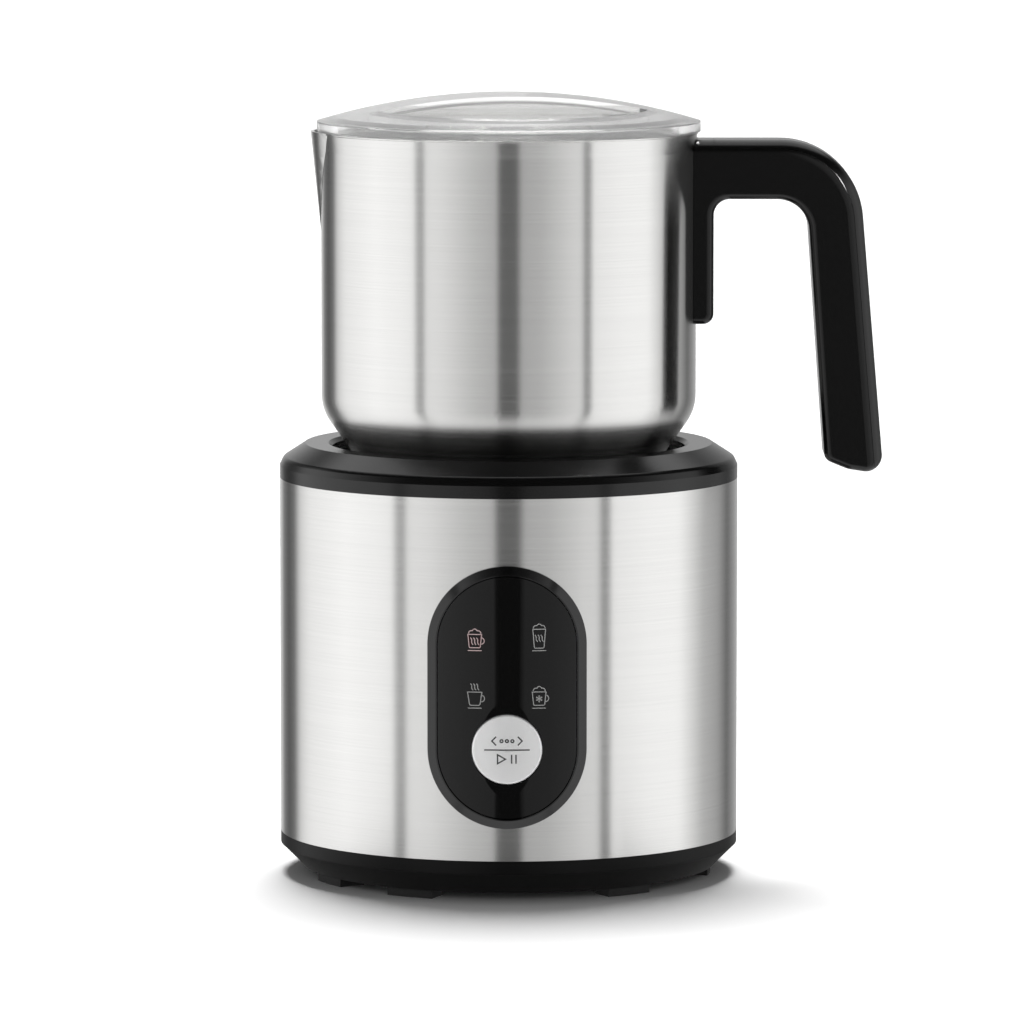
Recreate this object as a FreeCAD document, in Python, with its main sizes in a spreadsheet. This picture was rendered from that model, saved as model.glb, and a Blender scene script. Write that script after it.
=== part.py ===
import FreeCAD, Part
import math
import os
import re

import Sketcher

# A milk frother: a round power base with a push button, an induction-heated steel jug that stands in it,
# a magnetically driven whisk and a clear lid. Millimetres, +Z up, front at -Y, handle at +X.
# Everything is drawn about the base's vertical axis. axis_x moves that axis so that the origin is the
# centre of the whole object's footprint, handle included, on the plane of its feet.

Vector = FreeCAD.Vector
Rotation = FreeCAD.Rotation

SIZES = {
    "axis_x": -20.4,
    # base shell
    "base_rad": 65, "sleeve_wall": 0.6, "sleeve_z": 12.25, "sleeve_top": 113.1,
    "frame_rad": 64.3, "frame_wall": 2.5, "frame_top": 111.6, "shelf_z": 88, "shelf_top": 91,
    "foot_high": 2.5, "foot_rad": 57.6, "foot_deep": 8, "foot_arc": 14.2,
    "cover_floor": 4.6, "cover_rad": 58.6, "cover_top": 8.8, "ring_z": 8.85,
    "post_rad": 44, "post_size": 4.2, "base_screw": 1.5,
    "inlet_z": 24, "inlet_bore": 3.4, "inlet_hole": 5.3,
    # seat for the jug
    "lip_rad": 51.2, "lip_z": 122.75, "crease_z": 116.65, "crown_rad": 57.8, "seat_z": 113.8,
    "seat_under": 111.9,
    # control panel
    "panel_z": 57.95, "panel_half": 19.15, "panel_run": 29, "panel_face": 65.9, "panel_back": 62,
    "panel_gap": 0.3, "dish_reach": 3.5, "dish_deep": 0.3,
    "bezel_half": 22.05, "bezel_face": 66.2, "bezel_drop": 0.9, "bezel_slope": 2.3,
    "window_half": 20, "opening_half": 21.2,
    "button_z": 43.6, "button_rad": 9.75, "button_hole": 9.95, "button_crown": 66.5,
    "button_dome": 62, "button_brim": 0.7,
    "icon_x": 8.9, "icon_high": 74.4, "icon_low": 58.4, "guide_rad": 3.4,
    "carrier_front": 57.6, "board_front": 54, "plunger_rad": 1.75,
    # induction heater
    "former_z": 104, "coil_in": 22, "coil_out": 43, "core_in": 14, "sensor_y": 18, "sensor_rad": 2.6,
    # motor and magnetic drive
    "motor_rad": 18, "rotor_rad": 12.2, "motor_z": 44, "motor_top": 84, "shaft_rad": 1.6, "bush_rad": 4,
    "plate_z": 84.05, "plate_top": 85.65, "damper_at": 26, "motor_screw_at": 10,
    "hub_rad": 12.5, "hub_z": 103.5, "hub_top": 110.9, "drive_magnet": 3.5, "drive_magnet_at": 7.8,
    "fan_z": 26, "fan_high": 8, "fan_rad": 25,
    # jug
    "jug_rad": 53.1, "jug_wall": 0.8, "rim_z": 211.2, "rim_rad": 53.4, "flare_z": 206,
    "jug_foot": 40.05, "corner_z": 132.4, "corner_round": 14, "foot_round": 3,
    "bead": 0.25, "bead_high": 0.65, "bead_round": 0.22,
    "spout_tip": 56, "spout_z": 181.5, "spout_half": 16.9,
    # handle
    "grip_half": 10.2, "grip_top": 209, "grip_bottom": 114.4, "grip_out": 98.3, "grip_tip": 106.25,
    "grip_in": 84.2, "grip_under": 192.3, "tab_x": 57.9, "tab_z": 157,
    "end_x": 96, "end_z": 115.9, "heel_x": 89.4, "heel_z": 118.6,
    "outer_bend": 23.5, "inner_bend": 9, "tab_bend": 4.5, "tab_corner": 3, "end_bend": 8,
    "grip_round": 4.5, "inner_round": 2,
    "skin": 2.4, "seam_gap": 0.12, "seam_start": 58, "seam_end": 104.65,
    # whisk
    "spindle_rad": 2, "collar_rad": 3.5, "carrier_rad": 11.8, "carrier_flange": 16.5,
    "whisk_magnet": 3, "whisk_magnet_at": 8, "froth_rad": 14.35, "froth_wire": 2.1, "froth_z": 120.8,
    # lid
    "lid_rad": 54.3, "lid_top": 222.1, "dome_rad": 187.4, "lid_wall": 2.2, "skirt_rad": 50.6,
    "skirt_z": 206, "pocket_rad": 39, "pocket_shift": 5.6, "bridge_half": 15, "pocket_floor": 215,
    "lid_turn": 6,
}

doc = FreeCAD.newDocument("milk_frother")
sheet = doc.addObject("Spreadsheet::Sheet", "dims")
for row, (alias, size) in enumerate(SIZES.items(), 1):
    sheet.set(f"A{row}", alias)
    sheet.set(f"B{row}", str(size))
    sheet.setAlias(f"B{row}", alias)
doc.recompute()

PIECES = []
ALONG = {
    "Z": Rotation(),
    "Y": Rotation(Vector(1, 0, 0), -90),
    "-Y": Rotation(Vector(1, 0, 0), 90),
    "X": Rotation(Vector(0, 1, 0), 90),
}


def formula(text):
    """A formula in plain aliases, with each alias pointed at its cell of the sheet."""
    return re.sub(r"[a-z]\w*", lambda word: ("dims." if word[0] in SIZES else "") + word[0], str(text))


def value(text):
    """The number that a formula gives now."""
    return float(sheet.evalExpression(formula(text)))


def bind(obj, **formulas):
    for name, text in formulas.items():
        obj.setExpression(name, formula(text))


def place(obj, at, turn=Rotation()):
    """Put an object at three formulas, turned by a fixed rotation."""
    obj.Placement = FreeCAD.Placement(Vector(), turn)
    for axis, text in zip("xyz", at):
        obj.setExpression(f"Placement.Base.{axis}", formula(text))
    return obj


def piece(obj, label, at=("0", "0", "0"), turn=Rotation()):
    """Name a finished sub-part and carry it to the base's axis."""
    place(obj, (f"axis_x + {at[0]}", at[1], at[2]), turn)
    obj.Label = label
    PIECES.append((label, obj))
    return obj


def outline(body, plane, points, offset="0"):
    """A closed sketch of straight lines on one of the body's planes, each corner held by two formulas."""
    sketch = body.newObject("Sketcher::SketchObject", "outline")
    support = [item for item in body.Origin.OriginFeatures if item.Role == plane][0]
    sketch.AttachmentSupport = [(support, "")]
    sketch.MapMode = "FlatFace"
    sketch.setExpression("AttachmentOffset.Base.z", formula(offset))
    corners = [Vector(value(x), value(y), 0) for x, y in points]
    count = len(corners)
    for i in range(count):
        sketch.addGeometry(Part.LineSegment(corners[i], corners[(i + 1) % count]))
    for i in range(count):
        sketch.addConstraint(Sketcher.Constraint("Coincident", i, 2, (i + 1) % count, 1))
    for i, (x, y) in enumerate(points):
        for kind, text in (("DistanceX", x), ("DistanceY", y)):
            index = sketch.addConstraint(Sketcher.Constraint(kind, -1, 1, i, 1, value(text)))
            sketch.setExpression(f"Constraints[{index}]", formula(text))
    return sketch


def revolved(name, points):
    """A body turned about Z from an outline of (radius, height) corners."""
    body = doc.addObject("PartDesign::Body", name)
    sketch = outline(body, "XZ_Plane", points)
    turn = body.newObject("PartDesign::Revolution", "turn")
    turn.Profile = sketch
    turn.ReferenceAxis = (sketch, ["V_Axis"])
    turn.Angle = 360
    return body


def extruded(name, points, half):
    """A body of an outline in X and Z, as wide as twice half, centred on the XZ plane."""
    body = doc.addObject("PartDesign::Body", name)
    sketch = outline(body, "XZ_Plane", points, f"-({half})")
    pad = body.newObject("PartDesign::Pad", "pad")
    pad.Profile = sketch
    bind(pad, Length=f"2 * ({half})")
    return body


def rounded(body, radius, wanted, what="PartDesign::Fillet"):
    """Round the edges of a body's last feature that wanted(edge) picks."""
    doc.recompute()
    base = body.Tip
    names = [f"Edge{i}" for i, edge in enumerate(base.Shape.Edges, 1) if wanted(edge)]
    if not names:
        raise ValueError(f"{body.Label}: no edge to round")
    dress = body.newObject(what, "round")
    dress.Base = (base, names)
    bind(dress, **{"Size" if what == "PartDesign::Chamfer" else "Radius": radius})
    return body


def hoop(radius, height):
    """Picks the circular edges about Z with this radius at this height."""
    def wanted(edge):
        return (
            isinstance(edge.Curve, Part.Circle)
            and abs(edge.Curve.Radius - value(radius)) < 0.01
            and abs(edge.Curve.Center.z - value(height)) < 0.01
        )
    return wanted


def crosswise(*spots):
    """Picks the straight edges along Y that pass through these (x, z) formulas."""
    def wanted(edge):
        middle = edge.CenterOfMass
        level = len(edge.Vertexes) == 2 and abs(edge.tangentAt(edge.FirstParameter).y) > 0.999
        return level and any(
            abs(middle.x - value(x)) < 0.01 and abs(middle.z - value(z)) < 0.01 for x, z in spots
        )
    return wanted


def sidelong(outer):
    """Picks the grip's long edges on its two flat sides: those of its outer face, or all the others."""
    def wanted(edge):
        middle = edge.valueAt((edge.FirstParameter + edge.LastParameter) / 2)
        lean = (value("grip_tip") - value("grip_out")) / (value("grip_top") - value("grip_bottom"))
        side = value("grip_tip") - lean * (middle.z - value("grip_bottom"))
        under = min(value("grip_top") - middle.z, side - middle.x)
        bend = isinstance(edge.Curve, Part.Circle) and edge.Curve.Radius > 22
        flat = all(abs(abs(end.Point.y) - value("grip_half")) < 0.01 for end in edge.Vertexes)
        return flat and middle.x > 52 and outer == (bend or under < 0.01)
    return wanted


def cylinder(radius, length, at=("0", "0", "0"), along="Z", arc=None):
    obj = doc.addObject("Part::Cylinder", "cylinder")
    bind(obj, Radius=radius, Height=length)
    if arc:
        bind(obj, Angle=arc)
    return place(obj, at, ALONG[along])


def box(size, at=("0", "0", "0")):
    obj = doc.addObject("Part::Box", "box")
    bind(obj, Length=size[0], Width=size[1], Height=size[2])
    return place(obj, at)


def bar(start, end, width, low, high, angle):
    """A box that points away from the axis at an angle, from one radius to another."""
    obj = doc.addObject("Part::Box", "bar")
    bind(obj, Length=f"{end} - ({start})", Width=width, Height=f"{high} - ({low})")
    x = f"({start}) * cos({angle}) + ({width}) / 2 * sin({angle})"
    y = f"({start}) * sin({angle}) - ({width}) / 2 * cos({angle})"
    return place(obj, (x, y, low), Rotation(Vector(0, 0, 1), angle))


def fuse(*shapes):
    obj = doc.addObject("Part::MultiFuse", "fuse")
    obj.Shapes = list(shapes)
    return obj


def cut(base, *tools):
    obj = doc.addObject("Part::Cut", "cut")
    obj.Base = base
    obj.Tool = tools[0] if len(tools) == 1 else fuse(*tools)
    return obj


def common(base, tool):
    obj = doc.addObject("Part::Common", "common")
    obj.Base = base
    obj.Tool = tool
    return obj


def group(shapes):
    """Separate identical solids that share one node."""
    obj = doc.addObject("Part::Compound", "group")
    obj.Links = list(shapes)
    return obj


def polar(radius, angle):
    return f"({radius}) * cos({angle})", f"({radius}) * sin({angle})"


def ringed(make, radius, angles):
    """One object from make(x, y) at each angle round the axis."""
    return [make(*polar(radius, angle)) for angle in angles]


def tube(outer, inner, low, high):
    length = f"{high} - ({low})"
    hole = cylinder(inner, f"{length} + 2", ("0", "0", f"{low} - 1"))
    return cut(cylinder(outer, length, ("0", "0", low)), hole)


def stadium(half):
    """A full-round upright slot shape through the front wall, centred on the control panel."""
    straight = box((f"2 * ({half})", "20", "panel_run"), (f"-({half})", "-70", "panel_z - panel_run / 2"))
    ends = [
        cylinder(half, "20", ("0", "-70", f"panel_z {side} panel_run / 2"), "Y") for side in "+-"
    ]
    return fuse(straight, *ends)


# ---- base shell ----------------------------------------------------------------------------------

THIRDS = (30, 150, 270)
CORNERS = (45, 135, 225, 315)

# Thin steel sleeve with the panel's window at the front and the cord inlet at the back.
sleeve = cut(
    tube("base_rad", "base_rad - sleeve_wall", "sleeve_z", "sleeve_top"),
    stadium("window_half"),
    cylinder("inlet_hole", "20", ("0", "50", "inlet_z"), "Y"),
)
piece(sleeve, "outer_sleeve")

# Moulded frame: a wall that the sleeve slides over, a shelf for the motor and the heater, four screw
# posts tied to the wall by ribs, and two rails that hold the edges of the power board. The shelf is
# notched at the front for the tops of the two panel boards.
wall = revolved("frame_wall", [
    ("frame_rad - frame_wall", "sleeve_z"),
    ("frame_rad", "sleeve_z"),
    ("frame_rad", "frame_top"),
    ("frame_rad - frame_wall", "frame_top"),
    ("frame_rad - frame_wall", "shelf_top"),
    ("16", "shelf_top"),
    ("16", "shelf_z"),
    ("frame_rad - frame_wall", "shelf_z"),
])
posts = ringed(lambda x, y: cylinder("post_size", "15.3", (x, y, "6.7")), "post_rad", CORNERS)
ribs = [bar("post_rad + 3", "62.5", "2.5", "12.3", "22", angle) for angle in CORNERS]
rails = [box(("2.4", "9", "60"), (x, "43.5", "28.2")) for x in ("34.1", "-36.5")]
rail_feet = [box(("3.4", "1.4", "60"), (x, "43.5", "28.2")) for x in ("32.1", "-35.5")]
post_bores = ringed(lambda x, y: cylinder("base_screw + 0.05", "20", (x, y, "0")), "post_rad", CORNERS)
shelf_bores = ringed(lambda x, y: cylinder("1.7", "20", (x, y, "80")), "damper_at", THIRDS)
frame = cut(
    fuse(wall, *posts, *ribs, *rails, *rail_feet),
    stadium("opening_half"),
    box(("45", "11", "6"), ("-22.5", "-61.5", "shelf_z - 1")),
    cylinder("inlet_hole", "20", ("0", "50", "inlet_z"), "Y"),
    *post_bores,
    *shelf_bores,
)
piece(frame, "inner_frame")

# Black ring under the sleeve, and the dished cover that closes the base below it.
base_ring = revolved("skirt_ring", [
    ("61.2", "ring_z"),
    ("base_rad", "ring_z"),
    ("base_rad", "sleeve_z - 0.05"),
    ("61.2", "sleeve_z - 0.05"),
])
piece(base_ring, "base_ring")

dish = revolved("dish", [
    ("0", "foot_high"),
    ("cover_rad", "foot_high"),
    ("base_rad - 0.45", "cover_top - 0.35"),
    ("base_rad - 0.45", "cover_top"),
    ("61.9", "cover_top"),
    ("57.7", "cover_floor"),
    ("0", "cover_floor"),
])
bosses = ringed(lambda x, y: cylinder("5", "3", (x, y, "3.6")), "post_rad", CORNERS)
sinks = ringed(lambda x, y: cylinder("3.2", "2.7", (x, y, "2")), "post_rad", CORNERS)
bores = ringed(lambda x, y: cylinder("base_screw + 0.25", "10", (x, y, "0")), "post_rad", CORNERS)
vents = [bar("18", "33", "3", "0", "10", angle) for angle in range(0, 360, 20)]
base_cover = cut(fuse(dish, *bosses), *sinks, *bores, *vents)
piece(base_cover, "base_cover")

screws = []
for angle in CORNERS:
    x, y = polar("post_rad", angle)
    head = cylinder("2.8", "1.6", (x, y, "3.05"))
    shank = cylinder("base_screw", "12", (x, y, "4.6"))
    screws.append(fuse(head, shank))
piece(group(screws), "base_screws")

# Six rubber blocks along the edge of the cover. Angles are from +X, anticlockwise seen from above.
feet = []
for angle in (-118.5, -53.5, -152, -4, 61.5, 126.5):
    block = cylinder("foot_rad", "foot_high", arc="foot_arc")
    inner = cylinder("foot_rad - foot_deep", "foot_high + 2", ("0", "0", "-1"), arc="360")
    foot = cut(block, inner)
    foot.Placement = FreeCAD.Placement(Vector(), Rotation(Vector(0, 0, 1), angle - 7.1))
    feet.append(foot)
piece(group(feet), "rubber_feet")

# Gland for the mains cord, low at the back.
gland = cut(
    fuse(
        cylinder("7", "1.2", ("0", "65.05", "inlet_z"), "Y"),
        cylinder("inlet_hole - 0.1", "9", ("0", "57", "inlet_z"), "Y"),
    ),
    cylinder("inlet_bore", "20", ("0", "50", "inlet_z"), "Y"),
)
piece(gland, "cord_gland")

# ---- seat for the jug ----------------------------------------------------------------------------

top_ring = revolved("crown", [
    ("base_rad", "sleeve_top"),
    ("base_rad", "crease_z"),
    ("base_rad - 1", "118.8"),
    ("crown_rad", "lip_z + 0.05"),
    ("lip_rad", "lip_z"),
    ("50.2", "121.6"),
    ("50.2", "120.2"),
    ("57.3", "120.2"),
    ("62.2", "116.4"),
    ("62.2", "sleeve_top"),
])
rounded(top_ring, "2", hoop("base_rad - 1", "118.8"))
piece(top_ring, "top_ring")

seat_bowl = revolved("bowl", [
    ("0", "seat_z"),
    ("42.2", "seat_z"),
    ("50.2", "118.7"),
    ("57.5", "118.7"),
    ("57.5", "116.6"),
    ("48.9", "116.6"),
    ("41.6", "seat_under"),
    ("0", "seat_under"),
])
piece(seat_bowl, "seat_bowl")
piece(tube("56.5", "51.5", "118.75", "120.15"), "bowl_gasket")

# ---- induction heater ----------------------------------------------------------------------------

SIXTHS = (0, 60, 120, 180, 240, 300)

former_disc = revolved("former_disc", [
    ("core_in", "former_z"),
    ("46", "former_z"),
    ("46", "former_z + 5"),
    ("coil_out + 1", "former_z + 5"),
    ("coil_out + 1", "former_z + 2"),
    ("core_in", "former_z + 2"),
])
legs = ringed(lambda x, y: cylinder("2.5", "former_z - shelf_top + 1", (x, y, "shelf_top")), "42.5", THIRDS)
sensor_hole = cylinder("sensor_rad + 0.6", "20", ("0", "sensor_y", "100"))
piece(cut(fuse(former_disc, *legs), sensor_hole), "coil_former")
piece(tube("coil_out", "coil_in", "former_z + 2.1", "former_z + 5.6"), "induction_coil")
ferrites = [bar("20", "39", "6", "former_z - 3.1", "former_z - 0.1", angle) for angle in SIXTHS]
piece(group(ferrites), "ferrite_bars")
insulator = cut(
    tube("46", "core_in + 0.5", "110.2", "110.8"),
    cylinder("sensor_rad + 0.6", "20", ("0", "sensor_y", "100")),
)
piece(insulator, "coil_insulator")
sensor = cylinder("sensor_rad", "seat_under - 104.5")
piece(sensor, "temperature_sensor", ("0", "sensor_y", "104.5"))

# ---- motor and magnetic drive --------------------------------------------------------------------

can = revolved("can", [
    ("bush_rad", "motor_z"),
    ("motor_rad", "motor_z"),
    ("motor_rad", "motor_top"),
    ("5.5", "motor_top"),
    ("5.5", "motor_top + 3"),
    ("bush_rad", "motor_top + 3"),
    ("bush_rad", "motor_top - 2"),
    ("motor_rad - 1.5", "motor_top - 2"),
    ("motor_rad - 1.5", "motor_z + 2"),
    ("5.5", "motor_z + 2"),
    ("5.5", "motor_z + 4"),
    ("bush_rad", "motor_z + 4"),
])
rounded(can, "1.2", hoop("motor_rad", "motor_z"))
can_bores = [
    cylinder("1.35", "6", (side + "motor_screw_at", "0", "motor_top - 5.5")) for side in ("", "-")
]
piece(cut(can, *can_bores), "motor_can")

bushes = [
    tube("bush_rad - 0.05", "shaft_rad + 0.05", low, high)
    for low, high in (("motor_z", "motor_z + 4"), ("motor_top - 2", "motor_top + 3"))
]
piece(group(bushes), "motor_bushes")
piece(tube("motor_rad - 1.6", "rotor_rad + 0.8", "motor_z + 8", "motor_top - 6"), "field_magnets")
piece(tube("motor_rad - 1.6", "5.7", "motor_z + 2.05", "motor_z + 3.5"), "brush_plate")
brushes = [bar("4.6", "9.5", "3", "motor_z + 4.1", "motor_z + 8.5", angle) for angle in (0, 180)]
piece(group(brushes), "motor_brushes")

plate = cut(
    tube("30", "5.8", "plate_z", "plate_top"),
    *ringed(lambda x, y: cylinder("1.8", "20", (x, y, "75")), "damper_at", THIRDS),
    *[cylinder("1.5", "20", (side + "motor_screw_at", "0", "75")) for side in ("", "-")],
)
piece(plate, "motor_bracket")

dampers = []
for angle in THIRDS:
    x, y = polar("damper_at", angle)
    sleeve_hole = cylinder("1.8", "20", (x, y, "80"))
    dampers.append(cut(cylinder("4", "shelf_z - plate_top - 0.1", (x, y, "plate_top + 0.05")), sleeve_hole))
piece(group(dampers), "motor_dampers")

motor_screws = []
for side in ("", "-"):
    x = side + "motor_screw_at"
    head = cylinder("2.6", "1.5", (x, "0", "plate_top"))
    motor_screws.append(fuse(head, cylinder("1.3", "6", (x, "0", "plate_top - 6"))))
piece(group(motor_screws), "motor_screws")

bracket_screws = []
for angle in THIRDS:
    x, y = polar("damper_at", angle)
    head = cylinder("3", "2", (x, y, "shelf_top"))
    bracket_screws.append(fuse(head, cylinder("1.5", "10.5", (x, y, "shelf_top - 10.5"))))
piece(group(bracket_screws), "bracket_screws")

bracket_nuts = []
for angle in THIRDS:
    x, y = polar("damper_at", angle)
    nut = doc.addObject("Part::Prism", "nut")
    bind(nut, Circumradius="3.2", Height="2.4")
    place(nut, (x, y, "plate_z - 2.4"))
    bracket_nuts.append(cut(nut, cylinder("1.55", "10", (x, y, "78"))))
piece(group(bracket_nuts), "bracket_nuts")

piece(cylinder("shaft_rad", "hub_top - 2 - 24"), "drive_shaft", ("0", "0", "24"))
piece(tube("4.5", "shaft_rad + 0.02", "motor_z + 4.5", "motor_z + 10"), "commutator")
slots = [bar("7", "13", "2", "motor_z", "motor_top", angle) for angle in range(0, 360, 60)]
laminations = tube("rotor_rad", "shaft_rad + 0.02", "motor_z + 12", "motor_top - 8")
piece(cut(laminations, *slots), "motor_rotor")

MAGNETS = (0, 90, 180, 270)
hub = revolved("hub", [
    ("shaft_rad + 0.02", "hub_z"),
    ("6", "hub_z"),
    ("6", "hub_z + 2"),
    ("hub_rad", "hub_z + 2"),
    ("hub_rad", "hub_top"),
    ("0", "hub_top"),
    ("0", "hub_top - 1.95"),
    ("shaft_rad + 0.02", "hub_top - 1.95"),
])
hub_pockets = ringed(
    lambda x, y: cylinder("drive_magnet + 0.05", "5", (x, y, "hub_top - 3.3")), "drive_magnet_at", MAGNETS
)
piece(cut(hub, *hub_pockets), "drive_hub")
discs = ringed(
    lambda x, y: cylinder("drive_magnet", "3.2", (x, y, "hub_top - 3.25")), "drive_magnet_at", MAGNETS
)
piece(group(discs), "drive_magnets")

blades = []
for angle in range(0, 360, 45):
    blade = doc.addObject("Part::Box", "blade")
    bind(blade, Length="fan_rad - 5.5", Width="11", Height="1.2")
    pitched = Rotation(Vector(0, 0, 1), angle).multiply(Rotation(Vector(1, 0, 0), 32))
    start = Vector(5.5, 0, 0) - Rotation(Vector(1, 0, 0), 32).multVec(Vector(0, 5.5, 0.6))
    start = Rotation(Vector(0, 0, 1), angle).multVec(start)
    place(blade, (f"{start.x:.4f}", f"{start.y:.4f}", f"fan_z + fan_high / 2 + {start.z:.4f}"), pitched)
    blades.append(blade)
fan_hub = tube("7", "shaft_rad + 0.02", "fan_z", "fan_z + fan_high")
piece(fuse(fan_hub, *blades), "cooling_fan")

# ---- electronics ---------------------------------------------------------------------------------

piece(box(("68", "1.6", "58")), "power_board", ("-34", "46", "28.3"))
fins = [box(("1.4", "13", "34"), (f"{x}", "29", "41")) for x in (-30, -25.4, -20.8, -16.2, -11.6, -7.4)]
piece(fuse(box(("24", "3", "34"), ("-30", "41.5", "41")), *fins), "heatsink")
piece(box(("14", "1.3", "18")), "power_transistor", ("-25", "44.6", "50"))
piece(box(("22", "14", "20")), "filter_capacitor", ("8", "31.9", "60"))
choke = doc.addObject("Part::Torus", "choke")
bind(choke, Radius1="8.5", Radius2="3.8")
piece(choke, "choke_coil", ("19", "42", "42"), ALONG["Y"])

ICONS = [(f"{side} icon_x", height) for side in ("", "-") for height in ("icon_high", "icon_low")]
piece(box(("34", "1.6", "62")), "control_board", ("-17", "-board_front", "27"))
carrier = cut(
    fuse(
        box(("44", "2", "64"), ("-22", "-carrier_front", "26")),
        *[cylinder("2", "carrier_front - 1.5 - board_front", (x, "-carrier_front + 1.5", z), "Y")
          for x in ("-14", "14") for z in ("31", "85")],
    ),
    *[cylinder("guide_rad + 0.2", "20", (x, "-70", z), "Y") for x, z in ICONS],
    cylinder("6.2", "20", ("0", "-70", "button_z"), "Y"),
)
piece(carrier, "board_carrier")
leds = [box(("2.8", "1.2", "2.8"), (f"{x} - 1.4", "-board_front - 1.2", f"{z} - 1.4")) for x, z in ICONS]
piece(group(leds), "indicator_leds")
guides = [cylinder("guide_rad", "5.3", (x, "-60.6", z), "Y") for x, z in ICONS]
piece(group(guides), "light_guides")
switch = cut(
    box(("6.2", "3.6", "6.2"), ("-3.1", "-board_front - 3.6", "button_z - 3.1")),
    cylinder("plunger_rad + 0.05", "5", ("0", "-60.2", "button_z"), "Y"),
)
piece(switch, "tact_switch")

# ---- control panel -------------------------------------------------------------------------------

# A shallow dish leads the finger to the button.
dish_side = doc.addObject("Part::Cone", "dish_side")
bind(dish_side, Radius1="button_hole", Radius2="button_hole + dish_reach", Height="dish_deep")
place(dish_side, ("0", "-(panel_face - dish_deep)", "button_z"), ALONG["-Y"])
front_panel = cut(
    common(stadium("panel_half"), tube("panel_face", "panel_back", "15", "100")),
    cylinder("button_hole", "20", ("0", "-70", "button_z"), "Y"),
    dish_side,
)
piece(front_panel, "front_panel")

flange = common(
    cut(stadium("bezel_half"), stadium("panel_half + panel_gap")),
    tube("bezel_face", "base_rad + 0.03", "15", "100"),
)
neck = common(
    cut(stadium("window_half - 0.15"), stadium("panel_half + panel_gap")),
    tube("base_rad + 0.2", "61.8", "15", "100"),
)


def outer_rim(edge):
    """Picks the edges round the outside of the bezel's front."""
    middle = edge.valueAt((edge.FirstParameter + edge.LastParameter) / 2)
    along = max(abs(middle.z - value("panel_z")) - value("panel_run") / 2, 0)
    outside = abs((middle.x ** 2 + along ** 2) ** 0.5 - value("bezel_half")) < 0.05
    return outside and abs((middle.x ** 2 + middle.y ** 2) ** 0.5 - value("bezel_face")) < 0.01


# The flange slopes down from its inner edge to the sleeve all round.
doc.recompute()
sloped = doc.addObject("Part::Chamfer", "sloped")
sloped.Base = flange
rim = [i for i, edge in enumerate(flange.Shape.Edges, 1) if outer_rim(edge)]
sloped.Edges = [(i, value("bezel_drop"), value("bezel_slope")) for i in rim]
piece(fuse(sloped, neck), "panel_bezel")

# Push button, drawn upright with its domed face at the top and turned to face -Y.
stem = revolved("stem", [
    ("0", "58.6"),
    ("3", "58.6"),
    ("3", "59.5"),
    ("11", "59.5"),
    ("11", "60.7"),
    ("button_rad", "60.7"),
    ("button_rad", "button_crown"),
    ("0", "button_crown"),
])
button_ball = doc.addObject("Part::Sphere", "button_ball")
bind(button_ball, Radius="button_dome")
place(button_ball, ("0", "0", "button_crown - button_dome"))
button = doc.addObject("Part::Fillet", "button")
button.Base = common(stem, button_ball)
doc.recompute()
brim = [
    i for i, edge in enumerate(button.Base.Shape.Edges, 1)
    if edge.Length > 6 * value("button_rad") and edge.BoundBox.ZMin > value("button_crown") - 3
]
button.Edges = [(i, value("button_brim"), value("button_brim")) for i in brim]
piece(button, "push_button", ("0", "0", "button_z"), ALONG["-Y"])
piece(cylinder("plunger_rad", "2.2"), "switch_plunger", ("0", "-58.6", "button_z"), ALONG["Y"])

# ---- jug -----------------------------------------------------------------------------------------

# The wall is the space between an outer and an inner turned shape. The side ends in a round bead at the
# rim, and meets the cone below it at a wide round corner.
jug_outer = revolved("jug_outer", [
    ("0", "seat_z"),
    ("jug_foot", "seat_z"),
    ("jug_rad", "corner_z"),
    ("jug_rad", "flare_z"),
    ("rim_rad", "rim_z - bead_high"),
    ("rim_rad + bead", "rim_z - bead_high"),
    ("rim_rad + bead", "rim_z"),
    ("0", "rim_z"),
])
rounded(jug_outer, "bead_round", hoop("rim_rad + bead", "rim_z"))
rounded(jug_outer, "bead_round", hoop("rim_rad + bead", "rim_z - bead_high"))
rounded(jug_outer, "corner_round", hoop("jug_rad", "corner_z"))
rounded(jug_outer, "foot_round", hoop("jug_foot", "seat_z"))
jug_inner = revolved("jug_inner", [
    ("0", "seat_z + jug_wall"),
    ("jug_foot - 0.42", "seat_z + jug_wall"),
    ("jug_rad - jug_wall", "corner_z + 0.25"),
    ("jug_rad - jug_wall", "flare_z"),
    ("rim_rad - jug_wall", "rim_z"),
    ("rim_rad - jug_wall", "rim_z + 2"),
    ("0", "rim_z + 2"),
])
rounded(jug_inner, "corner_round - jug_wall", hoop("jug_rad - jug_wall", "corner_z + 0.25"))
rounded(jug_inner, "foot_round - jug_wall", hoop("jug_foot - 0.42", "seat_z + jug_wall"))


def spout(shift, top):
    """A pouring lip cut from a leaning cone: its point is on the wall below the rim, and at the rim it
    passes through the lip's tip and the two places where its flanks meet the rim."""
    side_x = -(value("rim_rad") ** 2 - value("spout_half") ** 2) ** 0.5
    point = Vector(0.1 - value("jug_rad"), 0, value("spout_z"))
    front = (Vector(-value("spout_tip"), 0, value("rim_z")) - point).normalize()
    flank = (Vector(side_x, value("spout_half"), value("rim_z")) - point).normalize()
    axis = Vector(front.z - flank.z, 0, flank.x - front.x).normalize()
    length = value("jug_rad")
    cone = Part.makeCone(0, length * math.tan(axis.getAngle(front)), length, point + Vector(shift), axis)
    keep = Part.makeBox(15, 60, value(top) - point.z, Vector(-60, -30, point.z))
    obj = doc.addObject("Part::Feature", "spout")
    obj.Shape = cone.common(keep)
    return obj


jug = cut(
    fuse(jug_outer, spout(0, "rim_z")),
    fuse(jug_inner, spout(value("jug_wall") * 1.06, "rim_z + 1.5")),
)
piece(jug, "jug")

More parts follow.
